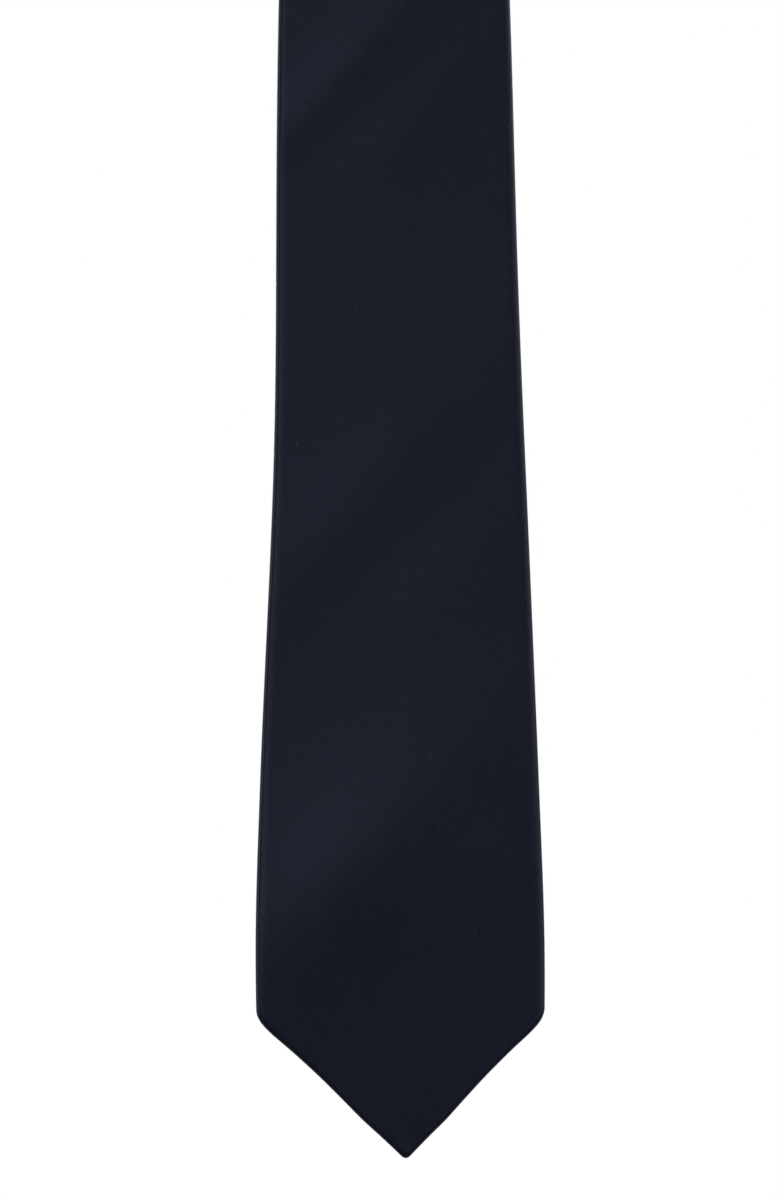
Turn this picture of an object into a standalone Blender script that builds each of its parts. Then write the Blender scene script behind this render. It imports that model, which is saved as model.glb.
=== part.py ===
"""A necktie hung over a rail: two tapered blades joined by a neck gusset, each a folded cloth envelope.

Frame: the origin is on the axis of the rail that carries the fold, +Z is up, the wide front blade hangs
on the -Y side with its face towards -Y, and the tail hangs on the +Y side. All lengths are in metres.

Places on the tie are given as (x, s, h): x across it, s along it from the tip of the front blade, and h
outwards from its seamed back, which lies against the rail, to its face.
"""

import math

import bmesh
import bpy
from mathutils import Vector

# The tie as cut and sewn
TIE_THICKNESS = 0.0033
CLOTH = 0.00045
GAP = 0.0003
INTERLINING_THICKNESS = 0.0012
TIPPING_THICKNESS = 0.0003
THREAD_RADIUS = 0.0002

# How it hangs
RAIL_RADIUS = 0.008
FRONT_DROP = 0.775
TAIL_DROP = 0.672
MIDDLE_RADIUS = RAIL_RADIUS + TIE_THICKNESS / 2
FOLD_LENGTH = math.pi * MIDDLE_RADIUS
TIE_LENGTH = FRONT_DROP + FOLD_LENGTH + TAIL_DROP

# Half-widths at distances along the tie, between its two pointed ends
HALF_WIDTHS = (
    (0.000, 0.0415),
    (0.060, 0.0425),
    (0.110, 0.0410),
    (0.220, 0.0365),
    (0.340, 0.0340),
    (0.480, 0.0290),
    (0.600, 0.0230),
    (0.700, 0.0195),
    (0.790, 0.0180),
    (0.945, 0.0182),
    (1.200, 0.0200),
    (1.400, 0.0228),
    (1.478, 0.0232),
)
CORNER_BLEND = 0.003
TIP_LEAN = 0.0013
FRONT_CORNER = 0.0424
TAIL_CORNER = 0.0232

# The two diagonal seams, at the height of their upper ends, and the play left between the shells there
FRONT_HINGE_DROP = 0.075
TAIL_HINGE_DROP = 0.140
SEAM_PLAY = 0.0006
SEAM_EASE = 0.040

# The seamed back
HEM = 0.004
SLOT_HALF = 0.0007
STITCH_PITCH = 0.015
FRONT_TIPPING_LENGTH = 0.130
TAIL_TIPPING_LENGTH = 0.085
TACK_ABOVE_MEETING = 0.0075
BAR_TACK = (0.010, 0.0016, 0.0007)

# Keeper loop, its two tacks and the blank label
KEEPER_AT = 0.206
KEEPER_HEIGHT = 0.012
KEEPER_HALF = 0.032
KEEPER_THICKNESS = 0.0009
KEEPER_RISE = 0.005
KEEPER_FOOT = 0.0060
KEEPER_RAMP = 0.0035
KEEPER_STANDOFF = 0.0002
KEEPER_TACK = (0.0015, 0.008, 0.0006)
LABEL_TOP = 0.073
LABEL_LENGTH = 0.025
LABEL_HALF = 0.0095
LABEL_THICKNESS = 0.0003
LABEL_DEPTH = 0.0001
LABEL_STITCH_HALF = 0.008
LABEL_STITCH_HEIGHT = 0.001

# How finely the round parts are cut
EDGE_STEPS = 4
FOLD_STEPS = 14
SURE_CUT = 0.001
APEX_HALF = 0.0006

MATERIALS = {
    "navy_satin": ((0.0105, 0.0125, 0.0205), 0.45),
    "navy_lining": ((0.0080, 0.0095, 0.0170), 0.55),
    "wool_interlining": ((0.52, 0.49, 0.43), 0.95),
    "navy_thread": ((0.0140, 0.0170, 0.0300), 0.50),
    "ivory_label": ((0.72, 0.70, 0.64), 0.50),
}


def clear_scene():
    for thing in list(bpy.data.objects):
        bpy.data.objects.remove(thing, do_unlink=True)


def make_materials():
    made = {}
    for name, (color, roughness) in MATERIALS.items():
        material = bpy.data.materials.new(name)
        material.use_nodes = True
        shader = material.node_tree.nodes["Principled BSDF"]
        shader.inputs["Base Color"].default_value = (*color, 1.0)
        shader.inputs["Roughness"].default_value = roughness
        shader.inputs["Metallic"].default_value = 0.0
        made[name] = material
    return made


# The outline of the tie


def station_width(s):
    """A smooth curve through HALF_WIDTHS, in cubic pieces whose slopes follow their neighbours."""
    points = HALF_WIDTHS
    s = min(max(s, points[0][0]), points[-1][0])
    i = max(k for k in range(len(points) - 1) if points[k][0] <= s)

    def slope(k):
        before, after = points[max(k - 1, 0)], points[min(k + 1, len(points) - 1)]
        return (after[1] - before[1]) / (after[0] - before[0])

    (s0, w0), (s1, w1) = points[i], points[i + 1]
    span = s1 - s0
    t = (s - s0) / span
    bend0 = (2 * t**3 - 3 * t**2 + 1) * w0 + (t**3 - 2 * t**2 + t) * span * slope(i)
    bend1 = (3 * t**2 - 2 * t**3) * w1 + (t**3 - t**2) * span * slope(i + 1)
    return bend0 + bend1


def rounded_min(a, b, blend):
    """The smaller of two lengths, eased over a short blend so that the corner is round."""
    near = max(blend - abs(a - b), 0.0) / blend
    return min(a, b) - near * near * blend / 4


def half_width(s):
    """Half the tie's width: each end is a right-angled point, and between them the blades taper."""
    width = rounded_min(station_width(s), s, CORNER_BLEND)
    return rounded_min(width, TIE_LENGTH - s, CORNER_BLEND)


def inset_width(s, inset):
    """Half the width of a line that runs inside the outline by inset, measured square to the edge."""
    step = 0.0005
    slope = (half_width(s + step) - half_width(s - step)) / (2 * step)
    return half_width(s) - inset * math.sqrt(1 + slope * slope)


def lean(s):
    """The front tip sits a little to one side of the blade's middle."""
    return TIP_LEAN * max(0.0, 1 - s / FRONT_CORNER)


def hang(x, s, h):
    """Where a place on the tie is when it hangs over the rail."""
    reach = RAIL_RADIUS + h
    if s <= FRONT_DROP:
        return Vector((x, -reach, s - FRONT_DROP))
    if s >= FRONT_DROP + FOLD_LENGTH:
        return Vector((x, reach, FRONT_DROP + FOLD_LENGTH - s))
    turn = (s - FRONT_DROP) / MIDDLE_RADIUS
    return Vector((x, -reach * math.cos(turn), reach * math.sin(turn)))


# Where the seams cross the middle of the tie. Each runs down at 45 degrees from its upper end.
FRONT_SEAM = FRONT_DROP - FRONT_HINGE_DROP - half_width(FRONT_DROP - FRONT_HINGE_DROP)
TAIL_SEAM = FRONT_DROP + FOLD_LENGTH + TAIL_HINGE_DROP + half_width(0.95)


# Making solids


def new_object(name, mesh, material):
    made = bpy.data.objects.new(name, mesh)
    bpy.context.scene.collection.objects.link(made)
    if material:
        made.data.materials.append(material)
    return made


def mesh_from(name, rings, closed_ends=True):
    """A solid through rings that all have the same number of points."""
    shape = bmesh.new()
    rows = [[shape.verts.new(point) for point in ring] for ring in rings]
    count = len(rows[0])
    for lower, upper in zip(rows, rows[1:]):
        for i in range(count):
            j = (i + 1) % count
            shape.faces.new((lower[i], lower[j], upper[j], upper[i]))
    if closed_ends:
        shape.faces.new(rows[0][::-1])
        shape.faces.new(rows[-1])
    bmesh.ops.recalc_face_normals(shape, faces=shape.faces)
    mesh = bpy.data.meshes.new(name)
    shape.to_mesh(mesh)
    shape.free()
    return mesh


def ring(s, half, low, high, round_edge, skew):
    """One cross-section of a ribbon. skew slants it, so that it runs along a diagonal seam."""
    middle, rise = (low + high) / 2, (high - low) / 2
    slope = (half_width(s + 0.0005) - half_width(s - 0.0005)) / 0.001
    reach = min(rise * math.sqrt(1 + slope * slope), 0.6 * half) if round_edge else 0.0
    steps = EDGE_STEPS if round_edge else 1
    points = []
    for side in (1, -1):
        for k in range(steps + 1):
            turn = side * (-math.pi / 2 + math.pi * k / steps)
            x = side * (half - reach + reach * math.cos(turn)) if round_edge else side * half
            h = middle + rise * math.sin(turn)
            points.append(hang(x + lean(s), s + skew * x, h))
    return points


def stations(start, end):
    """Distances along the tie that catch its taper, its corners and the fold over the rail."""
    marks = [mark for mark, _ in HALF_WIDTHS[1:-1]]
    marks += [0.002, 0.006, 0.036, FRONT_CORNER - 0.002, FRONT_CORNER, FRONT_CORNER + 0.003, 0.052]
    tail = [0.002, 0.006, 0.018, TAIL_CORNER - 0.002, TAIL_CORNER, TAIL_CORNER + 0.003, 0.032, 0.048]
    marks += [TIE_LENGTH - mark for mark in tail]
    marks += [FRONT_DROP + FOLD_LENGTH * k / FOLD_STEPS for k in range(FOLD_STEPS + 1)]
    near = 0.0008
    inside = sorted(mark for mark in marks if start + near < mark < end - near)
    return [start, *inside, end]


def seam_skew(s, seams):
    """How far a cross-section is slanted: fully at a diagonal seam, not at all a hand away."""
    slant = 0.0
    for seam, direction in seams:
        slant += direction * max(0.0, 1 - abs(s - seam) / (2 * SEAM_EASE))
    return slant


def ribbon(name, start, end, inset, low, high, material=None, round_edge=False, seams=()):
    """A closed strip of the tie from start to end, its edges inset from the outline."""
    rings = []
    for s in stations(start, end):
        half = max(inset_width(s, inset), APEX_HALF)
        rings.append(ring(s, half, low, high, round_edge, seam_skew(s, seams)))
    return new_object(name, mesh_from(name, rings), material)


def prism(name, outline, low, high, material=None):
    """A plate with a straight-sided outline given as (x, s) on a straight part of the tie."""
    rings = [[hang(x, s, h) for x, s in outline] for h in (low, high)]
    return new_object(name, mesh_from(name, rings), material)


def cut(solid, cutter):
    """Takes the cutter out of the solid."""
    step = solid.modifiers.new("cut " + cutter.name, "BOOLEAN")
    step.operation = "DIFFERENCE"
    step.solver = "EXACT"
    step.object = cutter
    cutter.hide_render = True
    cutter.display_type = "WIRE"


def bevel(solid, width, segments=2):
    step = solid.modifiers.new("soft edges", "BEVEL")
    step.width = width
    step.segments = segments
    step.limit_method = "ANGLE"


def shade_round(solid):
    solid.data.shade_smooth()
    solid.data.set_sharp_from_angle(angle=math.radians(35))


# Pieces that both blades have


def flap_opening(name, tip, corner, direction):
    """The four-sided window on a blade's back where the tipping shows: hems below, flap edges above."""
    diagonal = HEM * math.sqrt(2)
    lowest, meeting = diagonal, 2 * corner
    wide_at = (diagonal + meeting) / 2
    wide = wide_at - diagonal
    offset = TIP_LEAN * (1 - diagonal / corner) if direction > 0 else 0.0
    places = (
        (offset, lowest),
        (wide, wide_at),
        (SLOT_HALF / 2, meeting),
        (-SLOT_HALF / 2, meeting),
        (-wide, wide_at),
    )
    outline = [(x, tip + direction * s) for x, s in places]
    return prism(name, outline, -SURE_CUT, CLOTH + GAP / 2)


def shell(name, start, end, material, seams, openings, slot):
    """One piece of the folded envelope: an outer skin with its inside, slot and windows cut away."""
    beyond = 0.006
    open_start = bool(seams) and any(abs(start - seam) < SEAM_EASE for seam, _ in seams)
    open_end = bool(seams) and any(abs(end - seam) < SEAM_EASE for seam, _ in seams)
    tip_room = CLOTH * math.sqrt(2) + APEX_HALF
    inner_start = start - beyond if open_start else start + tip_room
    inner_end = end + beyond if open_end else end - tip_room
    body = ribbon(name, start, end, 0.0, 0.0, TIE_THICKNESS, material, True, seams)
    hollow = ribbon(
        name + "_hollow", inner_start, inner_end, CLOTH, CLOTH, TIE_THICKNESS - CLOTH, None, True, seams
    )
    cut(body, hollow)
    for opening in openings:
        cut(body, opening)
    slot_rings = []
    for s in stations(*slot):
        slot_top = CLOTH + GAP / 2
        corners = (
            (-SLOT_HALF, -SURE_CUT),
            (SLOT_HALF, -SURE_CUT),
            (SLOT_HALF, slot_top),
            (-SLOT_HALF, slot_top),
        )
        slot_rings.append([hang(x, s, h) for x, h in corners])
    cut(body, new_object(name + "_slot", mesh_from(name + "_slot", slot_rings), None))
    shade_round(body)
    return body


def thread_tube(name, points, material):
    """A thread along a list of points, with closed ends."""
    curve = bpy.data.curves.new(name, "CURVE")
    curve.dimensions = "3D"
    curve.bevel_depth = THREAD_RADIUS
    curve.bevel_resolution = 0
    curve.use_fill_caps = True
    line = curve.splines.new("POLY")
    line.points.add(len(points) - 1)
    for spot, point in zip(line.points, points):
        spot.co = (*point, 1.0)
    return new_object(name, curve, material)


def slip_stitch(name, start, end, material):
    """The thread that closes the back, from one flap edge to the other in the slot between them."""
    swing = SLOT_HALF - THREAD_RADIUS - 0.00015
    count = round((end - start) / (STITCH_PITCH / 2))
    points = []
    for k in range(count + 1):
        s = start + (end - start) * k / count
        x = swing if k % 2 else -swing
        points.append(hang(x, s, CLOTH / 2))
    return thread_tube(name, points, material)


def seam_thread(name, seam, direction, shift, material):
    """The machine stitch of a diagonal seam, round the inside of the envelope beside the seam."""
    s0 = seam + shift
    half = half_width(seam) - 0.0013
    low, high = 0.0010, 0.0023
    middle, rise = (low + high) / 2, (high - low) / 2
    bend = half - rise
    flat = [(-0.0020 - (bend - 0.0020) * k / 3, low) for k in range(4)]
    left = [
        (-bend - rise * math.sin(math.pi * k / 4), middle - rise * math.cos(math.pi * k / 4))
        for k in range(1, 5)
    ]
    front = [(-bend + 2 * bend * k / 8, high) for k in range(1, 8)]
    half_way = flat + left + front
    mirrored = [(-x, h) for x, h in (flat + left)[::-1]]
    points = [hang(x, s0 + direction * x, h) for x, h in half_way + mirrored]
    return thread_tube(name, points, material)


def bar(name, centre, size, low, material):
    """A short raised bar of stitching on the back, size as (across, along, thick)."""
    (x, s), (across, along, thick) = centre, size
    corners = ((-1, -1), (1, -1), (1, 1), (-1, 1))
    outline = [(x + a * across / 2, s + b * along / 2) for a, b in corners]
    made = prism(name, outline, low - thick, low, material)
    bevel(made, 0.3 * min(across, along, thick))
    shade_round(made)
    return made


# The pieces of one kind


def keeper_loop(material):
    """The self-cloth band on the front blade's back: two sewn feet and a raised middle."""
    flat_from = KEEPER_HALF - KEEPER_FOOT
    ramp_steps = 5
    ramp = []
    for k in range(ramp_steps + 1):
        t = k / ramp_steps
        ramp.append((flat_from - KEEPER_RAMP * t, KEEPER_RISE * (3 * t * t - 2 * t**3)))
    line = [(KEEPER_HALF, 0.0), *ramp]
    line += [(-x, rise) for x, rise in reversed(line)]
    under = [(x, -KEEPER_STANDOFF - rise) for x, rise in line]
    over = []
    for k, (x, h) in enumerate(under):
        before, after = under[max(k - 1, 0)], under[min(k + 1, len(under) - 1)]
        along = Vector((after[0] - before[0], after[1] - before[1])).normalized()
        over.append((x + KEEPER_THICKNESS * -along.y, h + KEEPER_THICKNESS * along.x))
    section = under + over[::-1]
    rings = []
    for side in (-1, 1):
        rings.append([hang(x, KEEPER_AT + side * KEEPER_HEIGHT / 2, h) for x, h in section])
    made = new_object("keeper_loop", mesh_from("keeper_loop", rings), material)
    shade_round(made)
    return made


def care_label(material):
    """The blank woven label, which hangs from its sewn top edge over the tipping."""
    corners = ((-1, 1), (1, 1), (1, 0), (-1, 0))
    outline = [(x * LABEL_HALF, LABEL_TOP - down * LABEL_LENGTH) for x, down in corners]
    return prism("care_label", outline, LABEL_DEPTH, LABEL_DEPTH + LABEL_THICKNESS, material)


def front_blade(materials, seam_edge):
    satin, thread = materials["navy_satin"], materials["navy_thread"]
    tip = APEX_HALF
    seams = ((FRONT_SEAM, -1),)
    meeting = 2 * FRONT_CORNER
    window = flap_opening("front_window", 0.0, FRONT_CORNER, 1)
    slot = (meeting - 0.001, seam_edge + 0.030)
    shell("front_blade_shell", tip, seam_edge, satin, seams, [window], slot)
    lining_low = CLOTH + GAP
    wool_low = lining_low + TIPPING_THICKNESS + GAP
    wool_high = wool_low + INTERLINING_THICKNESS
    inner = CLOTH + 0.00085
    inner_tip = APEX_HALF + inner * math.sqrt(2)
    ribbon(
        "front_interlining", inner_tip, seam_edge - 0.001, inner, wool_low, wool_high,
        materials["wool_interlining"], False, seams,
    )
    ribbon(
        "front_tipping", inner_tip, FRONT_TIPPING_LENGTH, inner,
        lining_low, lining_low + TIPPING_THICKNESS,
        materials["navy_lining"],
    )
    slip_stitch("front_slip_stitch", meeting + 0.002, seam_edge - 0.002, thread)
    bar("front_bar_tack", (0.0, meeting + TACK_ABOVE_MEETING), BAR_TACK, -GAP / 2, thread)
    keeper_loop(satin)
    foot = KEEPER_HALF - KEEPER_FOOT / 2
    over_foot = -KEEPER_STANDOFF - KEEPER_THICKNESS - GAP / 2
    for name, side in (("keeper_tack_left", -1), ("keeper_tack_right", 1)):
        bar(name, (side * foot, KEEPER_AT), KEEPER_TACK, over_foot, thread)
    care_label(materials["ivory_label"])
    stitch_size = (2 * LABEL_STITCH_HALF, LABEL_STITCH_HEIGHT, LABEL_THICKNESS)
    stitch_at = LABEL_TOP + 0.0006 + LABEL_STITCH_HEIGHT / 2
    bar("care_label_stitch", (0.0, stitch_at), stitch_size, LABEL_DEPTH + LABEL_THICKNESS, thread)


def neck(materials, start, end):
    satin, thread = materials["navy_satin"], materials["navy_thread"]
    seams = ((FRONT_SEAM, -1), (TAIL_SEAM, -1))
    shell("neck_gusset_shell", start, end, satin, seams, [], (start - 0.030, end + 0.030))
    inner = CLOTH + 0.00085
    wool_low = CLOTH + 2 * GAP + TIPPING_THICKNESS
    ribbon(
        "neck_interlining", start + 0.004, end - 0.004, inner,
        wool_low, wool_low + INTERLINING_THICKNESS,
        materials["wool_interlining"], False, seams,
    )
    slip_stitch("neck_slip_stitch", start + 0.002, end - 0.002, thread)
    seam_thread("front_seam_thread", start, -1, 0.0018, thread)
    seam_thread("tail_seam_thread", end, -1, -0.0018, thread)


def tail_blade(materials, seam_edge):
    satin, thread = materials["navy_satin"], materials["navy_thread"]
    tip = TIE_LENGTH - APEX_HALF
    seams = ((TAIL_SEAM, -1),)
    meeting = TIE_LENGTH - 2 * TAIL_CORNER
    window = flap_opening("tail_window", TIE_LENGTH, TAIL_CORNER, -1)
    slot = (seam_edge - 0.030, meeting + 0.001)
    shell("tail_blade_shell", seam_edge, tip, satin, seams, [window], slot)
    lining_low = CLOTH + GAP
    wool_low = lining_low + TIPPING_THICKNESS + GAP
    wool_high = wool_low + INTERLINING_THICKNESS
    inner = CLOTH + 0.00085
    inner_tip = TIE_LENGTH - APEX_HALF - inner * math.sqrt(2)
    ribbon(
        "tail_interlining", seam_edge + 0.001, inner_tip, inner, wool_low, wool_high,
        materials["wool_interlining"], False, seams,
    )
    ribbon(
        "tail_tipping", TIE_LENGTH - TAIL_TIPPING_LENGTH, inner_tip, inner, lining_low,
        lining_low + TIPPING_THICKNESS, materials["navy_lining"],
    )
    slip_stitch("tail_slip_stitch", seam_edge + 0.002, meeting - 0.002, thread)
    bar("tail_bar_tack", (0.0, meeting - TACK_ABOVE_MEETING), BAR_TACK, -GAP / 2, thread)


def main():
    clear_scene()
    materials = make_materials()
    front_blade(materials, FRONT_SEAM - SEAM_PLAY / 2)
    neck(materials, FRONT_SEAM + SEAM_PLAY / 2, TAIL_SEAM - SEAM_PLAY / 2)
    tail_blade(materials, TAIL_SEAM + SEAM_PLAY / 2)


main()
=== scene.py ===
import math

import bmesh
import bpy
import numpy as np
from mathutils import Matrix, Vector


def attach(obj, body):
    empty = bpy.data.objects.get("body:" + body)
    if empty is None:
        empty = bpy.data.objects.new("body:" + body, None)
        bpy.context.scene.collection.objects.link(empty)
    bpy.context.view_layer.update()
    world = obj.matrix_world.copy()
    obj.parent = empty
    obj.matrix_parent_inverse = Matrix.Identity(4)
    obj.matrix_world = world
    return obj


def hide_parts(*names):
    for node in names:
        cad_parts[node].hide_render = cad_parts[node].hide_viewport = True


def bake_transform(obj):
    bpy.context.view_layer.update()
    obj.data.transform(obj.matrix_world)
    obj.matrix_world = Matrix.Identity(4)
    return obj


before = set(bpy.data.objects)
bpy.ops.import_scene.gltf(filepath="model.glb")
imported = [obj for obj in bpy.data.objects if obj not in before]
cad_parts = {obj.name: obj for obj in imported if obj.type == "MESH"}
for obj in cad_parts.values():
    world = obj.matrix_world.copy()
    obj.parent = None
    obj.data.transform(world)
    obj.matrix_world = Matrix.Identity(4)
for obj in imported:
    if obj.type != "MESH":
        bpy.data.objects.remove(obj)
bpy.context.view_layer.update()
print("frame loaded:", len(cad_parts), "nodes")

# The tie as a whole, in metres. Places on it are x across, s along from the front point
# and h out from the seamed back
tie = {
    "railRadius": 0.008,
    "thickness": 0.0032,
    "solidThickness": 0.0033,  # of the plain solids, which sets how far round the rail the fold goes
    "frontDrop": 0.775,
    "tailDrop": 0.672,
    "halfWidths": [
        (0.000, 0.0415), (0.060, 0.0425), (0.110, 0.0410), (0.220, 0.0365), (0.340, 0.0340),
        (0.480, 0.0290), (0.600, 0.0230), (0.700, 0.0195), (0.790, 0.0180), (0.945, 0.0182),
        (1.200, 0.0200), (1.400, 0.0228), (1.478, 0.0232),
    ],
    "frontCorner": 0.0424,
    "tailCorner": 0.0232,
    "cornerBlend": 0.0022,
    "pointFullness": 0.00055,  # how far the point's edges sit outside a right angle
    "pointRadius": 0.0017,
    "pointLean": 0.0013,
    # small waves along the point's edges: place, half-length and height
    "edgeWaves": [(0.012, 0.004, 0.0003), (0.025, 0.006, -0.0003), (0.038, 0.004, 0.0006)],
    # where the blade hangs a little to one side, over what length, and how far
    "sway": (0.200, 0.065, 0.0007),
    "hem": 0.004,
    "slot": 0.00004,
    "turnUnder": 0.007,
    "foldRadius": 0.00025,
    # the lower end leans back: from where, along what slant, how softly and how steeply
    "tuck": (0.088, 0.65, 0.015, 0.030),
    "crown": 0.00012,  # how much thinner the edges are than the middle
    "seamSlope": 0.080,
    "frontHinge": -0.075,
    "tailHinge": -0.140,
    "tailSeamWidthAt": 0.950,
    "bendReach": 0.060,  # how far each side of a hinge the cloth bends
}
middleRadius = tie["railRadius"] + tie["solidThickness"] / 2
foldLength = math.pi * middleRadius
tieLength = tie["frontDrop"] + foldLength + tie["tailDrop"]
tipAt = tie["pointRadius"] * (math.sqrt(2) - 1) - tie["pointFullness"]  # where the rounded points begin

bias = math.sqrt(0.5)

# Soft rolls in the hanging cloth, along the bias: place (x, s), half-length, half-width and height,
# in millimetres
softRolls = [
    (0, 95, 60, 24, 1.4),  # the fullness above the lower end
    (10, 55, 50, 18, -0.3),  # the hollow below it, which shades the slope between them
    (-12, 195, 40, 10, 0.25),  # the upper half of a small step in the middle
    (0, 178, 40, 10, -0.3),  # and its lower half
    (0, 255, 60, 30, -0.5),  # a shallow dip
    (-10, 325, 45, 8, 0.7),  # the ridge near the top of the lower part
    (5, 305, 30, 8, 0.2),  # a faint one beside it
    # further up and on the tail
    (0, 430, 80, 25, -0.3),
    (5, 560, 80, 25, 0.3),
    (0, 1150, 70, 25, 0.3),
    (-5, 1300, 70, 25, -0.3),
]


def stationWidth(s):
    points = tie["halfWidths"]
    s = min(max(s, points[0][0]), points[-1][0])
    i = max(k for k in range(len(points) - 1) if points[k][0] <= s)

    def slope(k):
        before, after = points[max(k - 1, 0)], points[min(k + 1, len(points) - 1)]
        return (after[1] - before[1]) / (after[0] - before[0])

    (s0, w0), (s1, w1) = points[i], points[i + 1]
    span, t = s1 - s0, (s - s0) / (s1 - s0)
    first = (2 * t**3 - 3 * t**2 + 1) * w0 + (t**3 - 2 * t**2 + t) * span * slope(i)
    return first + (3 * t**2 - 2 * t**3) * w1 + (t**3 - t**2) * span * slope(i + 1)


def roundedMin(a, b, blend):
    near = max(blend - abs(a - b), 0.0) / blend
    return min(a, b) - near * near * blend / 4


def pointWidth(d, corner):
    d += tie["pointFullness"]
    radius = tie["pointRadius"]
    start = radius * (math.sqrt(2) - 1)  # the round nose starts this far from the sharp point
    if d - start < radius * (1 - math.sqrt(0.5)):
        return math.sqrt(max(radius**2 - (radius - max(d - start, 0.0)) ** 2, 0.0))
    scale = corner / tie["frontCorner"]
    waves = (high * math.exp(-((d / scale - at) / wide) ** 2) for at, wide, high in tie["edgeWaves"])
    return d + scale * sum(waves)


def halfWidth(s):
    front = pointWidth(s, tie["frontCorner"])
    tail = pointWidth(tieLength - s, tie["tailCorner"])
    return roundedMin(roundedMin(stationWidth(s), front, tie["cornerBlend"]), tail, tie["cornerBlend"])


def edgeSlope(s):
    step = 0.0004
    return (halfWidth(s + step) - halfWidth(s - step)) / (2 * step)


def smooth(t):
    t = min(max(t, 0.0), 1.0)
    return t * t * (3 - 2 * t)


# Faint ripples over the upper part and the tail, which die out at the rail. In metres
ripples = {"height": 0.00016, "slant": 0.8, "length": 0.021, "from": 0.34, "growOver": 0.08, "fadeOver": 0.12}


def relief(x, s):
    fade = min(1.0, abs(s - tie["frontDrop"] - foldLength / 2) / ripples["fadeOver"])
    fade *= smooth((s - ripples["from"]) / ripples["growOver"])
    total = ripples["height"] * math.sin((s - ripples["slant"] * x) / ripples["length"]) * fade
    tuckAt, lean, soft, slope = tie["tuck"]
    below = tuckAt + lean * x - s
    total -= slope * (max(below, 0.0) if abs(below) > soft else (below + soft) ** 2 / (4 * soft))
    for cx, cs, along, across, height in softRolls:
        dx, ds = x * 1000 - cx, s * 1000 - cs
        u, v = (dx + ds) * bias / along, (ds - dx) * bias / across  # the bias runs down to the left
        if abs(u) < 3 and abs(v) < 3:
            total += height * 0.001 * math.exp(-u * u - v * v)
    return total


def hang(x, s, h):
    swayAt, swayOver, swayBy = tie["sway"]
    x += tie["pointLean"] * max(0.0, 1 - s / tie["frontCorner"])
    x += swayBy * math.exp(-((s - swayAt) / swayOver) ** 2)
    reach = tie["railRadius"] + h + relief(x, s)
    turn = min(max((s - tie["frontDrop"]) / middleRadius, 0.0), math.pi)
    drop = max(tie["frontDrop"] - s, s - tie["frontDrop"] - foldLength, 0.0)
    return Vector((x, -reach * math.cos(turn), reach * math.sin(turn) - drop))


# Both diagonal seams end at a hinge's height. The tail's is placed by the width at "tailSeamWidthAt"
frontSeam = tie["frontDrop"] + tie["frontHinge"] - stationWidth(tie["frontDrop"] + tie["frontHinge"])
tailSeam = tie["frontDrop"] + foldLength - tie["tailHinge"] + stationWidth(tie["tailSeamWidthAt"])


def skewAt(s):
    return -sum(max(0.0, 1 - abs(s - seam) / tie["seamSlope"]) for seam in (frontSeam, tailSeam))


def hexColor(code):
    channels = [int(code[i:i + 2], 16) / 255 for i in (1, 3, 5)]
    return [c / 12.92 if c <= 0.04045 else ((c + 0.055) / 1.055) ** 2.4 for c in channels] + [1.0]


def addNode(tree, kind, inputs=None, **settings):
    node = tree.nodes.new(kind)
    for key, value in settings.items():
        setattr(node, key, value)
    for key, value in (inputs or {}).items():
        if isinstance(value, bpy.types.NodeSocket):
            tree.links.new(value, node.inputs[key])
        else:
            node.inputs[key].default_value = value
    return node


def startMaterial(name):
    material = bpy.data.materials.new(name)
    material.use_nodes = True
    material.node_tree.nodes.clear()
    return material, material.node_tree


def finishMaterial(tree, shader):
    addNode(tree, "ShaderNodeOutputMaterial", {"Surface": shader.outputs[0]})


waveScale = math.pi / 10  # a wave texture of this scale repeats once a metre
weave = {"fine": 0.38, "patches": 0.24, "middle": 0.19}  # shares of each in the tone, and what centres it


def noise(tree, place, size, detail=2.0):
    made = addNode(tree, "ShaderNodeTexNoise", {"Vector": place, "Scale": 1 / size, "Detail": detail})
    return made.outputs[0]


def combine(tree, operation, *values):
    return addNode(tree, "ShaderNodeMath", dict(enumerate(values)), operation=operation).outputs[0]


def addRibs(tree, place, look, distortion, direction):
    return addNode(tree, "ShaderNodeTexWave", {
        "Vector": place, "Scale": waveScale / look["ribs"], "Distortion": distortion,
    }, bands_direction=direction).outputs["Fac"]


def colorRamp(tree, tone, look, low, high):
    ramp = addNode(tree, "ShaderNodeValToRGB", {"Fac": tone})
    for element, place, shade in zip(ramp.color_ramp.elements, (low, high), ("dark", "light")):
        element.position = place
        element.color = hexColor(look[shade])
    return ramp.outputs[0]


def bumpFrom(tree, height, look):
    return addNode(tree, "ShaderNodeBump", {
        "Height": height, "Strength": look["bump"], "Distance": look["bumpDepth"],
    }).outputs[0]


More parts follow.
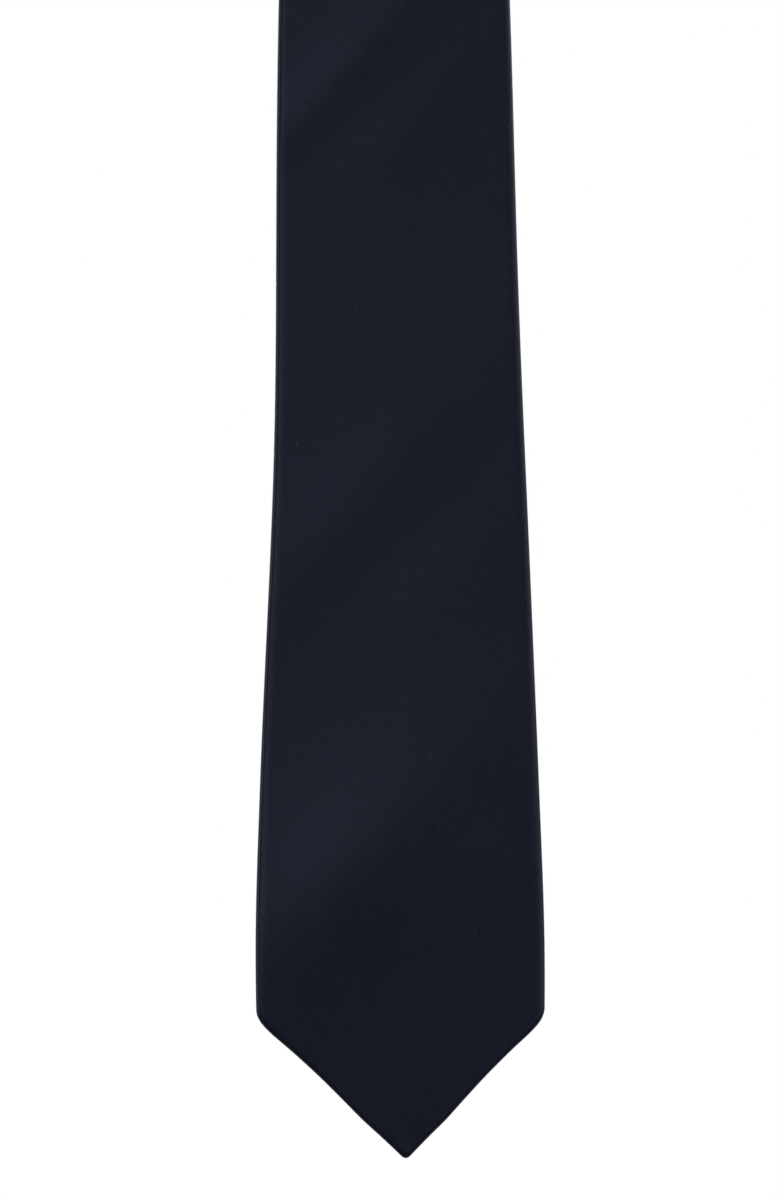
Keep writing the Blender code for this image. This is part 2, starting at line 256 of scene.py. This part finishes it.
def clothMaterial(name, look):
    material, tree = startMaterial(name)
    cloth = addNode(tree, "ShaderNodeUVMap", uv_map="cloth").outputs[0]  # metres along and across the threads
    long, short = look["threads"]
    warp = addNode(tree, "ShaderNodeMapping", {"Vector": cloth, "Scale": (1 / long, 1 / short, 1.0)})
    weft = addNode(tree, "ShaderNodeMapping", {"Vector": cloth, "Scale": (1 / short, 1 / long, 1.0)})
    woven = combine(tree, "ADD", noise(tree, warp.outputs[0], 1.0), noise(tree, weft.outputs[0], 1.0))
    fine = combine(tree, "ADD", woven, noise(tree, cloth, look["grain"]))
    if "ribs" in look:
        fine = combine(tree, "MULTIPLY_ADD", addRibs(tree, cloth, look, 0.4, "X"), 0.5, fine)
    tone = combine(tree, "MULTIPLY", fine, weave["fine"])
    tone = combine(tree, "MULTIPLY_ADD", noise(tree, cloth, look["patches"]), weave["patches"], tone)
    tone = combine(tree, "SUBTRACT", tone, weave["middle"])
    tangent = addNode(tree, "ShaderNodeTangent", direction_type="UV_MAP", uv_map="cloth")
    shader = addNode(tree, "ShaderNodeBsdfPrincipled", {
        "Base Color": colorRamp(tree, tone, look, 0.34, 0.66),
        "Normal": bumpFrom(tree, fine, look),
        "Tangent": tangent.outputs[0],
        "Roughness": look["roughness"],
        "IOR": 1.5,
        "Anisotropic": look["anisotropic"],
        "Specular Tint": hexColor(look["glow"]),
        "Sheen Weight": look["sheen"],
        "Sheen Roughness": 0.45,
    })
    finishMaterial(tree, shader)
    return material


def plainMaterial(name, look):
    material, tree = startMaterial(name)
    place = addNode(tree, "ShaderNodeTexCoord").outputs["Object"]
    fibres = noise(tree, place, look["fibre"], 5.0)
    if "ribs" in look:
        fibres = combine(tree, "MULTIPLY_ADD", addRibs(tree, place, look, 0.5, "Z"), 0.3, fibres)
    shader = addNode(tree, "ShaderNodeBsdfPrincipled", {
        "Base Color": colorRamp(tree, fibres, look, 0.35, 0.65),
        "Normal": bumpFrom(tree, fibres, look),
        "Roughness": look["roughness"],
        "IOR": 1.5,
        "Sheen Weight": look["sheen"],
        "Sheen Roughness": 0.5,
    })
    finishMaterial(tree, shader)
    return material


# Threads, grain, patches, ribs and fibres are sizes in metres. The satin's and the lining's threads are
# drawn several times coarser than life, because real ones, some 0.05 mm wide, can't be told apart here
looks = {
    # dark silk satin: nearly black navy with a soft glow that follows the bias-cut threads
    "silkSatin": {
        "dark": "#0E1119", "light": "#1A1E2B", "threads": (0.006, 0.0006), "grain": 0.0011, "patches": 0.036,
        "bump": 0.25, "bumpDepth": 0.00004, "roughness": 0.38, "anisotropic": 0.35, "sheen": 0.03,
        "glow": "#AFBADF",
    },
    # thin twill lining: flatter and a shade bluer than the silk
    "twillLining": {
        "dark": "#10131D", "light": "#171B28", "threads": (0.003, 0.0005), "grain": 0.0009, "patches": 0.025,
        "ribs": 0.0007, "bump": 0.35, "bumpDepth": 0.00005, "roughness": 0.55, "anisotropic": 0.2,
        "sheen": 0.05, "glow": "#AFBADF",
    },
    # brushed wool: pale, matt and hairy
    "brushedWool": {
        "dark": "#B5AE9F", "light": "#D8D2C4", "fibre": 0.0011,
        "bump": 0.8, "bumpDepth": 0.0003, "roughness": 0.95, "sheen": 0.4,
    },
    # twisted sewing thread: a little brighter than the cloth it is sewn through
    "sewingThread": {
        "dark": "#1C2130", "light": "#2B3145", "fibre": 0.0004,
        "bump": 0.5, "bumpDepth": 0.00006, "roughness": 0.5, "sheen": 0.2,
    },
    # woven tape: ivory, slightly glossy, with nothing written on it
    "labelTape": {
        "dark": "#C9C3B3", "light": "#DAD5C7", "fibre": 0.0022, "ribs": 0.0006,
        "bump": 0.4, "bumpDepth": 0.00005, "roughness": 0.5, "sheen": 0.1,
    },
    # lint: pale loose fibres
    "lint": {
        "dark": "#8C8F99", "light": "#B9BCC6", "fibre": 0.002,
        "bump": 0.2, "bumpDepth": 0.00002, "roughness": 0.9, "sheen": 0.2,
    },
}
materials = {}
for name, look in looks.items():
    makeMaterial = clothMaterial if "threads" in look else plainMaterial
    materials[name] = makeMaterial(name, look)
print("materials made:", len(materials))


def meshObject(name, verts, faces, material, uvs=None):
    mesh = bpy.data.meshes.new(name)
    mesh.from_pydata([tuple(v) for v in verts], [], faces)
    if uvs is not None:
        layer = mesh.uv_layers.new(name="cloth")
        loops = np.empty(len(mesh.loops), dtype=np.int32)
        mesh.loops.foreach_get("vertex_index", loops)
        layer.data.foreach_set("uv", np.asarray(uvs, dtype=np.float32)[loops].ravel())
    shape = bmesh.new()
    shape.from_mesh(mesh)
    bmesh.ops.remove_doubles(shape, verts=shape.verts, dist=0.000008)
    shape.to_mesh(mesh)
    shape.free()
    mesh.shade_smooth()
    mesh.materials.append(material)
    made = bpy.data.objects.new(name, mesh)
    bpy.context.scene.collection.objects.link(made)
    return made


# Rows hold (place, u, v) at every point, where u and v are its place on the flat cloth
def gridObject(name, rows, material, closedAcross=False, capped=False):
    count = len(rows[0])
    verts = [place for row in rows for place, u, v in row]
    uvs = [((u + v) * bias, (v - u) * bias) for row in rows for place, u, v in row]  # cut on the bias
    faces = []
    across = count if closedAcross else count - 1
    for i in range(len(rows) - 1):
        for j in range(across):
            a, b = i * count + j, i * count + (j + 1) % count
            faces.append((a, b, b + count, a + count))
    if capped:
        faces.append(tuple(range(count))[::-1])
        faces.append(tuple((len(rows) - 1) * count + j for j in range(count)))
    return meshObject(name, verts, faces, material, uvs)


# The envelope: how its cross-section is folded. Sizes in metres
envelope = {
    "noseLength": 0.0022,  # over which the point swells to the full thickness
    "noseLeast": 0.02,  # the share of the thickness left at the very point
    "flapLeast": 0.0008,
    "flapsFrom": 0.003,  # how far past the corners the flaps meet
    "lipHeight": 0.00022,  # how far the flaps' edges sink into the groove between them
    "lipWidth": 0.0035,
    "stitchPitch": 0.015,
    "puckerHeight": 0.00030,
    "puckerLength": 0.0022,
    "crownPer": 0.0014,  # the half-thickness at which the crown is at its full height
    "points": {"under": 3, "turn": 4, "back": 14, "edge": 10, "face": 22},
    "seamRoll": 0.0010,  # how far the cloth rolls in beside a seam
}


# How much further a slip stitch near this place pulls the flaps' edges in
def puckerAt(s):
    half = envelope["stitchPitch"] / 2
    away = (s + half) % envelope["stitchPitch"] - half
    return envelope["puckerHeight"] * math.exp(-(away / envelope["puckerLength"]) ** 2)


# Half a crosswise line of the folded cloth, as (x, h), from the flap's hidden edge round to the middle
# of the face
def sectionSide(s, shrink):
    d = min(s, tieLength - s)
    corner = tie["frontCorner"] if s < tieLength / 2 else tie["tailCorner"]
    points = envelope["points"]
    middle = tie["thickness"] / 2 - tie["crown"] / 2
    half = max(halfWidth(s) - shrink, 0.00002)
    nose = min(max((d - tipAt) / envelope["noseLength"], 0.0), 1.0)
    rise = (middle - shrink) * max(math.sqrt(1 - (1 - nose) ** 2), envelope["noseLeast"])
    reach = min(rise * math.sqrt(1 + min(edgeSlope(s) ** 2, 1.0)), 0.6 * half)
    flat = half - reach
    edge = max(min(d - tie["hem"] * math.sqrt(2), 2 * corner - d), tie["slot"])
    edge = min(edge, max(flat - envelope["flapLeast"], 0.35 * flat))
    fold = min(tie["foldRadius"], 0.2 * flat)
    under = min(tie["turnUnder"], 0.8 * (flat - edge))
    low = middle - rise
    side = []
    for k in range(points["under"]):
        side.append((edge + under - (under - fold) * k / (points["under"] - 1), low + 2 * fold))
    for k in range(1, points["turn"] + 1):
        turn = math.pi * k / points["turn"]
        side.append((edge + fold - fold * math.sin(turn), low + fold + fold * math.cos(turn)))
    for k in range(1, points["back"] + 1):
        side.append((edge + fold + (flat - edge - fold) * k / points["back"], low))
    backPoints = len(side) + 1
    for k in range(1, points["edge"] + 1):
        turn = -math.pi / 2 + math.pi * k / points["edge"]
        side.append((flat + reach * math.cos(turn), middle + rise * math.sin(turn)))
    for k in range(1, points["face"] + 1):
        x = flat * (1 - k / points["face"])
        bulge = tie["crown"] * (1 - (x / max(flat, 0.0001)) ** 2) ** 2 * rise / envelope["crownPer"]
        side.append((x, middle + rise + bulge))
    sink = envelope["lipHeight"]
    if d > 2 * corner + envelope["flapsFrom"]:
        sink += puckerAt(s)
    for k, (x, h) in enumerate(side[:backPoints]):
        near = math.exp(-((x - edge) / envelope["lipWidth"]) ** 2)
        side[k] = (x, h + sink * near * min(1.0, flat / 0.01))
    return side


# One whole crosswise line of the envelope, and how wide it is on the flat cloth
def shellSection(s, shrink):
    side = sectionSide(s, shrink)
    lengths = [0.0]
    for (x0, h0), (x1, h1) in zip(side[::-1], side[-2::-1]):
        lengths.append(lengths[-1] + math.hypot(x1 - x0, h1 - h0))
    lengths = lengths[::-1]
    skew = skewAt(s)
    row = []
    for (x, h), far in zip(side, lengths):
        row.append((hang(-x, s - skew * x, h), -far, s - skew * x))
    for (x, h), far in list(zip(side, lengths))[-2::-1]:
        row.append((hang(x, s + skew * x, h), far, s + skew * x))
    return row, 2 * lengths[0]


def spread(start, end, step):
    count = max(1, math.ceil(abs(end - start) / step))
    return [start + (end - start) * k / count for k in range(count)]


# Metres between the envelope's crosswise lines
stationStep = {"point": 0.0012, "blade": 0.0025, "fold": 0.0008}


# The outline turns fastest at the very point, so the first lines lie closer together
def tipStations(length):
    first = [tipAt + step for step in (0.0, 0.00003, 0.00012, 0.0003, 0.0006, 0.001, 0.0015, 0.0022)]
    return first + spread(tipAt + 0.003, length, stationStep["point"])


# Close to a seam the cloth rolls in: each entry is a place and how far the envelope has shrunk there
def seamStations(seam, inward):
    roll = envelope["seamRoll"]
    rolled = []
    for k in range(6):
        turn = math.pi / 2 * k / 5
        rolled.append((seam + inward * roll * (1 - math.cos(turn)), roll * (1 - math.sin(turn))))
    return rolled


def shellObject(name, stations, replaced):
    rows, widths = [], []
    for s, shrink in stations:
        row, width = shellSection(s, shrink)
        rows.append(row)
        widths.append(width)
    made = gridObject(name, rows, materials["silkSatin"])
    length = abs(stations[-1][0] - stations[0][0])
    area = 0.0
    for i in range(len(widths) - 1):
        area += (widths[i] + widths[i + 1]) / 2 * abs(stations[i + 1][0] - stations[i][0])
    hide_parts(replaced)
    return made, (max(widths), length), area


def bend(piece):
    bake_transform(piece)


seamGap = 0.00006  # from a seam's line to the cloth on each side of it
seamClear = 0.002  # how far from a seam the plain part of the envelope starts
splitAt = tie["frontDrop"] + foldLength + 0.012  # on the flat of the back leg, where nothing bends


def plain(start, end, step):
    return [(s, 0.0) for s in spread(start, end, stationStep[step])]


frontStations = [(s, 0.0) for s in tipStations(0.100)]
frontStations += plain(0.100, frontSeam - seamClear, "blade")
frontStations += seamStations(frontSeam - seamGap, -1)[::-1]
frontShell, flat, area = shellObject("frontBladeSatin", frontStations, "front_blade_shell")
bend(frontShell)

neckFront = seamStations(frontSeam + seamGap, 1)
neckFront += plain(frontSeam + seamClear, tie["frontDrop"], "blade")
neckFront += plain(tie["frontDrop"], splitAt, "fold") + [(splitAt, 0.0)]
neckFrontShell, flat, area = shellObject("neckFrontSatin", neckFront, "neck_gusset_shell")
bend(neckFrontShell)

neckBack = plain(splitAt, tailSeam - seamClear, "blade")
neckBack += seamStations(tailSeam - seamGap, -1)[::-1]
neckBackShell, flat, area = shellObject("neckBackSatin", neckBack, "neck_gusset_shell")
bend(neckBackShell)

tailStations = seamStations(tailSeam + seamGap, 1)
tailStations += plain(tailSeam + seamClear, tieLength - 0.060, "blade")
tailStations += [(tieLength - d, 0.0) for d in tipStations(0.060)[::-1]]
tailShell, flat, area = shellObject("tailBladeSatin", tailStations, "tail_blade_shell")
bend(tailShell)
shells = (frontShell, neckFrontShell, neckBackShell, tailShell)
print("silk envelope folded:", sum(len(shell.data.polygons) for shell in shells), "faces")

# The inner layers, as strips inset from the outline between a lowest and a highest h
woolCut = {"inset": 0.0015, "low": 0.0013, "high": 0.0023}
liningCut = {"inset": 0.0017, "low": 0.00078, "high": 0.00098}
inner = {
    "frontWool": {"node": "front_interlining", "from": 0.0024, "to": frontSeam - 0.001, **woolCut},
    "neckWoolFront": {"node": "neck_interlining", "from": frontSeam + 0.004, "to": splitAt, **woolCut},
    "neckWoolBack": {"node": "neck_interlining", "from": splitAt, "to": tailSeam - 0.004, **woolCut},
    "tailWool": {"node": "tail_interlining", "from": tailSeam + 0.001, "to": tieLength - 0.0024, **woolCut},
    "frontTipping": {"node": "front_tipping", "from": 0.0028, "to": 0.130, **liningCut},
    "tailTipping": {"node": "tail_tipping", "from": tieLength - 0.085, "to": tieLength - 0.0028, **liningCut},
}


def layerObject(name, part):
    lining = "Tipping" in name
    steps = 24
    rows = []
    stations = spread(part["from"], part["to"], 0.002) + [part["to"]]
    area, widest = 0.0, 0.0
    for s in stations:
        half = max(halfWidth(s) - part["inset"] * math.sqrt(1 + edgeSlope(s) ** 2), 0.0003)
        skew = skewAt(s)
        row = []
        for side, level in ((1, part["low"]), (-1, part["high"])):
            h = level
            for k in range(steps + 1):
                x = side * half * (-1 + 2 * k / steps)
                if lining:  # it bellies out a little between its sewn edges
                    h = level - 0.00025 * max(0.0, 1 - (x / 0.03) ** 2) * smooth(min(s, tieLength - s) / 0.03)
                row.append((hang(x, s + skew * x, h), x, s + skew * x))
        rows.append(row)
        widest = max(widest, 2 * half)
        area += 2 * half * (part["to"] - part["from"]) / (len(stations) - 1)
    cloth = materials["twillLining" if lining else "brushedWool"]
    made = gridObject(name, rows, cloth, closedAcross=True, capped=True)
    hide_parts(part["node"])
    if lining:
        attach(made, "front_blade" if name == "frontTipping" else "tail")
    else:
        bend(made)


for name, part in inner.items():
    layerObject(name, part)
print("inner layers laid:", len(inner))

# The keeper loop: a band of doubled silk, its feet sewn flat and its middle standing off the back
keeper = {
    "at": 0.206, "height": 0.012, "half": 0.032, "foot": 0.006, "ramp": 0.005,
    "rise": 0.0050, "thickness": 0.0009, "standoff": 0.0002,
}


def keeperLoop():
    line = []
    for k in range(81):
        x = -keeper["half"] + 2 * keeper["half"] * k / 80
        inside = keeper["half"] - keeper["foot"] - abs(x)
        h = keeper["standoff"] + keeper["thickness"] / 2 + keeper["rise"] * smooth(inside / keeper["ramp"])
        h += 0.0005 * math.cos(math.pi * x / (2 * keeper["half"])) - 0.0003
        line.append((x, -h))
    rows, far = [], 0.0
    for k, (x, h) in enumerate(line):
        before, after = line[max(k - 1, 0)], line[min(k + 1, 80)]
        length = math.hypot(after[0] - before[0], after[1] - before[1])
        nx, nh = -(after[1] - before[1]) / length, (after[0] - before[0]) / length
        if k:
            far += math.hypot(x - line[k - 1][0], h - line[k - 1][1])
        thick = keeper["thickness"] / 2 * (0.55 + 0.45 * smooth((1 - abs(k - 40) / 40) / 0.05))
        row = []
        for j in range(28):
            turn = 2 * math.pi * j / 28
            c, q = math.cos(turn), math.sin(turn)
            along = (keeper["height"] / 2 - thick) * math.copysign(min(1.0, abs(c) * 1.6), c) + thick * c
            out = thick * math.copysign(abs(q) ** 0.6, q)
            row.append((hang(x + nx * out, keeper["at"] + along, h + nh * out), far, along + out))
        rows.append(row)
    made = gridObject("keeperBand", rows, materials["silkSatin"], closedAcross=True, capped=True)
    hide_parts("keeper_loop")
    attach(made, "front_blade")


keeperLoop()

# The care label: blank woven tape, sewn along its top edge and curling a little at the foot
label = {
    "top": 0.073, "length": 0.025, "half": 0.0095,
    "depth": 0.00025, "thickness": 0.00025, "curl": 0.0009,
}


def careLabel():
    rows = []
    for k in range(31):
        down = label["length"] * k / 30
        row = []
        for side in (1, -1):
            for j in range(21):
                x = side * label["half"] * (-1 + j / 10)
                corner = smooth(k / 30) ** 2 * (0.5 + 0.5 * (x / label["half"]) ** 2)
                h = label["depth"] - label["curl"] * corner + side * label["thickness"] / 2
                row.append((hang(x, label["top"] - down, h), x, down))
        rows.append(row)
    made = gridObject("careLabelTape", rows, materials["labelTape"], closedAcross=True, capped=True)
    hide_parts("care_label")
    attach(made, "care_label")


careLabel()
print("keeper loop and label sewn on")


# One stitch, an arched piece of thread, set down at every point it is given: what tacks and seams repeat
def stitchTree():
    tree = bpy.data.node_groups.new("stitchRow", "GeometryNodeTree")
    face = tree.interface
    face.new_socket(name="Geometry", in_out="OUTPUT", socket_type="NodeSocketGeometry")
    face.new_socket(name="Places", in_out="INPUT", socket_type="NodeSocketGeometry")
    wanted = {
        "Reach": "Vector", "Rise": "Float", "Thread Radius": "Float", "Jitter": "Float",
        "Seed": "Int", "Material": "Material",
    }
    for name, kind in wanted.items():
        face.new_socket(name=name, in_out="INPUT", socket_type="NodeSocket" + kind)
    given = addNode(tree, "NodeGroupInput").outputs
    back = addNode(tree, "ShaderNodeVectorMath", {0: given["Reach"], "Scale": -0.5}, operation="SCALE")
    ahead = addNode(tree, "ShaderNodeVectorMath", {0: given["Reach"], "Scale": 0.5}, operation="SCALE")
    top = addNode(tree, "ShaderNodeCombineXYZ", {"Y": given["Rise"]})
    arc = addNode(tree, "GeometryNodeCurveQuadraticBezier", {
        "Resolution": 8, "Start": back.outputs[0], "Middle": top.outputs[0], "End": ahead.outputs[0]})
    ring = addNode(tree, "GeometryNodeCurvePrimitiveCircle", {
        "Resolution": 6, "Radius": given["Thread Radius"]})
    tube = addNode(tree, "GeometryNodeCurveToMesh", {
        "Curve": arc.outputs[0], "Profile Curve": ring.outputs[0], "Fill Caps": True})
    chance = addNode(tree, "FunctionNodeRandomValue", {
        0: (-1.0, -1.0, -1.0), "Seed": given["Seed"]}, data_type="FLOAT_VECTOR")
    shaken = addNode(tree, "ShaderNodeVectorMath", {
        0: chance.outputs[0], "Scale": given["Jitter"]}, operation="SCALE")
    turn = addNode(tree, "GeometryNodeInputNamedAttribute", {"Name": "turn"}, data_type="FLOAT")
    about = addNode(tree, "ShaderNodeCombineXYZ", {"X": turn.outputs[0]})
    facing = addNode(tree, "ShaderNodeVectorMath", {
        0: about.outputs[0], 1: shaken.outputs[0]}, operation="ADD")
    placed = addNode(tree, "GeometryNodeInstanceOnPoints", {
        "Points": given["Places"], "Instance": tube.outputs[0], "Rotation": facing.outputs[0]})
    real = addNode(tree, "GeometryNodeRealizeInstances", {"Geometry": placed.outputs[0]})
    dressed = addNode(tree, "GeometryNodeSetMaterial", {
        "Geometry": real.outputs[0], "Material": given["Material"]})
    addNode(tree, "NodeGroupOutput", {"Geometry": dressed.outputs[0]})
    return tree


stitches = stitchTree()
stitchInputs = (item for item in stitches.interface.items_tree if item.in_out == "INPUT")
stitchSockets = {item.name: item.identifier for item in stitchInputs}


# How far round the rail a place is
def turnAt(s):
    return min(max((s - tie["frontDrop"]) / middleRadius, 0.0), math.pi)


# Sets a stitch down at each (x, s, h), bakes the row to a mesh and takes the modifier away
def stitchRow(name, places, look, node=None, body="front_blade", bends=False, material="sewingThread"):
    points = bpy.data.meshes.new(name + "Places")
    points.from_pydata([tuple(hang(*place)) for place in places], [], [])
    turns = points.attributes.new("turn", "FLOAT", "POINT")
    turns.data.foreach_set("value", [-turnAt(s) for x, s, h in places])
    made = bpy.data.objects.new(name, points)
    bpy.context.scene.collection.objects.link(made)
    step = made.modifiers.new("stitches", "NODES")
    step.node_group = stitches
    for key, value in {"Seed": 7, "Material": materials[material], **look}.items():
        step[stitchSockets[key]] = value
    bpy.context.view_layer.update()
    baked = bpy.data.meshes.new_from_object(made.evaluated_get(bpy.context.evaluated_depsgraph_get()))
    made.modifiers.remove(step)
    made.data = baked
    baked.shade_smooth()
    if node:
        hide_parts(node)
    if bends:
        bend(made)
    else:
        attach(made, body)


# Bar tacks: a dense row of stitches lying across the line they follow. Sizes in metres
barStitch = {"Rise": 0.0006, "Thread Radius": 0.00017, "Jitter": 0.16}
bladeTack = {"across": 0.0090, "along": 0.0018, "count": 28, "h": -0.00005}
keeperTack = {"across": 0.0018, "along": 0.0076, "count": 24, "h": -0.00125}
keeperTackAt = 0.029  # from the middle, on each side


def barTack(name, x, s, tack, node, body):
    across, along, count = tack["across"], tack["along"], tack["count"]
    wide = along <= across  # the row runs across the tie, its stitches along it
    places = []
    for k in range(count):
        t = k / (count - 1) - 0.5
        places.append((x + (t * across if wide else 0), s + (0 if wide else t * along), tack["h"]))
    reach = (0.0003, 0.0, along) if wide else (across, 0.0, 0.0003)
    stitchRow(name, places, {**barStitch, "Reach": reach}, node, body)


barTack("frontBarTack", 0.0, 0.0923, bladeTack, "front_bar_tack", "front_blade")
barTack("tailBarTack", 0.0, tieLength - 0.0539, bladeTack, "tail_bar_tack", "tail")
barTack("keeperTackLeft", -keeperTackAt, keeper["at"], keeperTack, "keeper_tack_left", "front_blade")
barTack("keeperTackRight", keeperTackAt, keeper["at"], keeperTack, "keeper_tack_right", "front_blade")

labelStitch = {"Reach": (0.0013, 0.0, 0.0), "Rise": 0.00015, "Thread Radius": 0.00011, "Jitter": 0.04}
labelPlaces = [(-0.008 + 0.0016 * k, label["top"] - 0.0012, 0.00008) for k in range(11)]
stitchRow("careLabelStitches", labelPlaces, labelStitch, "care_label_stitch", "front_blade")

# Slip stitches: one short slanting thread across the groove of the back at every pucker
slipStitch = {"Reach": (0.0011, 0.0, 0.0012), "Rise": -0.0001, "Thread Radius": 0.00013, "Jitter": 0.10}
slipDepth = 0.00022


def slipRow(name, start, end, node, body):
    pitch = envelope["stitchPitch"]
    first, last = math.ceil(start / pitch), math.floor(end / pitch)
    places = [(0.0, pitch * k, slipDepth) for k in range(first, last + 1)]
    stitchRow(name, places, slipStitch, node, body, bends=True)


slipRow("frontSlipStitches", 0.094, frontSeam - 0.003, "front_slip_stitch", "front_blade")
slipRow("neckFrontSlipStitches", frontSeam + 0.003, splitAt, "neck_slip_stitch", "front_blade")
slipRow("neckBackSlipStitches", splitAt + 0.001, tailSeam - 0.003, "neck_slip_stitch", "tail")
slipRow("tailSlipStitches", tailSeam + 0.003, tieLength - 0.062, "tail_slip_stitch", "tail")

# The machine stitches of the two diagonal seams, hidden inside the fold
seamStitch = {"Reach": (0.0016, 0.0, -0.0016), "Rise": 0.0002, "Thread Radius": 0.00012, "Jitter": 0.03}
seamLine = {"inset": 0.0025, "pitch": 0.0022, "shift": 0.0018, "levels": (0.00105, 0.0025)}


def seamRow(name, seam, shift, node, body):
    reach = stationWidth(seam) - seamLine["inset"]
    count = round(2 * reach / seamLine["pitch"])
    places = []
    for h in seamLine["levels"]:
        for k in range(count + 1):
            x = -reach + 2 * reach * k / count
            places.append((x, seam + shift - x, h))
    stitchRow(name, places, seamStitch, node, body, bends=True)


seamRow("frontSeamStitches", frontSeam, seamLine["shift"], "front_seam_thread", "front_blade")
seamRow("tailSeamStitches", tailSeam, -seamLine["shift"], "tail_seam_thread", "tail")

# Specks of lint on the face, as places (x, s) in millimetres
lintSpecks = [
    (-25, 301), (33, 303), (38, 166), (36, 137), (-30, 210),
    (-38, 96), (22, 66), (-12, 250), (28, 236), (9, 118),
]
lint = {"Reach": (0.0004, 0.0, 0.0002), "Rise": 0.0001, "Thread Radius": 0.000035, "Jitter": 1.2}
lintPlaces = []
for across, along in lintSpecks:
    x, s = across / 1000, along / 1000
    lintPlaces.append((x, s, tie["thickness"] + 0.00003 - tie["crown"] * (x / halfWidth(s)) ** 2))
stitchRow("lintSpecks", lintPlaces, lint, material="lint")
print("stitches and lint placed")

# Lights: place, size and power of each soft panel, all aimed at one point
lights = {
    "keyPanel": {"at": (-1.25, -4.2, -0.45), "size": (1.2, 1.6), "power": 20.8},
    "fillPanel": {"at": (1.3, -2.35, -0.6), "size": (0.9, 1.6), "power": 8.5},
    "leftRim": {"at": (-2.0, -0.5, -0.6), "size": (0.8, 1.6), "power": 9.5},
    "rightRim": {"at": (2.0, -0.8, -0.6), "size": (0.8, 1.6), "power": 8.0},
    "backLeft": {"at": (-1.3, 1.7, 0.2), "size": (1.0, 1.4), "power": 18.0},
    "backRight": {"at": (1.9, 0.9, 0.4), "size": (1.0, 1.4), "power": 18.0},
}
aim = Vector((0, 0, -0.55))
for name, part in lights.items():
    lamp = bpy.data.lights.new(name, "AREA")
    lamp.shape = "RECTANGLE"
    lamp.size, lamp.size_y = part["size"]
    lamp.energy = part["power"]
    made = bpy.data.objects.new(name, lamp)
    made.location = part["at"]
    made.rotation_euler = (aim - made.location).to_track_quat("-Z", "Y").to_euler()
    made.visible_camera = False
    bpy.context.scene.collection.objects.link(made)

# The surround: seen directly it is white paper, and it lights the tie more from behind than from in front
surround = {"color": (0.95, 0.97, 1.0, 1.0), "from": -0.1, "to": 0.5, "front": 0.09, "back": 0.42}
world = bpy.data.worlds.new("paper")
world.use_nodes = True
sky = world.node_tree
sky.nodes.clear()
isCamera = addNode(sky, "ShaderNodeLightPath").outputs["Is Camera Ray"]
direction = addNode(sky, "ShaderNodeTexCoord").outputs["Generated"]
depth = addNode(sky, "ShaderNodeSeparateXYZ", {0: direction}).outputs[1]
glow = addNode(sky, "ShaderNodeMapRange", {
    "Value": depth, 1: surround["from"], 2: surround["to"], 3: surround["front"], 4: surround["back"]})
room = addNode(sky, "ShaderNodeBackground", {"Color": surround["color"], "Strength": glow.outputs[0]})
paper = addNode(sky, "ShaderNodeBackground", {"Color": (1.0, 1.0, 1.0, 1.0), "Strength": 1.0})
seen = addNode(sky, "ShaderNodeMixShader", {0: isCamera, 1: room.outputs[0], 2: paper.outputs[0]})
addNode(sky, "ShaderNodeOutputWorld", {"Surface": seen.outputs[0]})
bpy.context.scene.world = world
bpy.context.scene.view_settings.view_transform = "Standard"

# The camera looks straight at the lower end of the front blade, turned a fraction of a degree. In metres
viewpoint = {
    "at": (-0.00233, -2.2113, -0.61011), "roll": -0.36,
    "height": 0.35103, "distance": 2.2,  # how much is in view, and at what distance
}
camera = bpy.data.cameras.new("camera")
camera.sensor_width = 36.0
camera.lens = camera.sensor_width * viewpoint["distance"] / viewpoint["height"]
camera.clip_start, camera.clip_end = 0.05, 50.0
cameraObject = bpy.data.objects.new("camera", camera)
upright = Matrix.Rotation(math.pi / 2, 4, "X")
tilt = Matrix.Rotation(math.radians(viewpoint["roll"]), 4, "Z")
cameraObject.matrix_world = Matrix.Translation(viewpoint["at"]) @ upright @ tilt
bpy.context.scene.collection.objects.link(cameraObject)
bpy.context.scene.camera = cameraObject
print("lights and camera set")
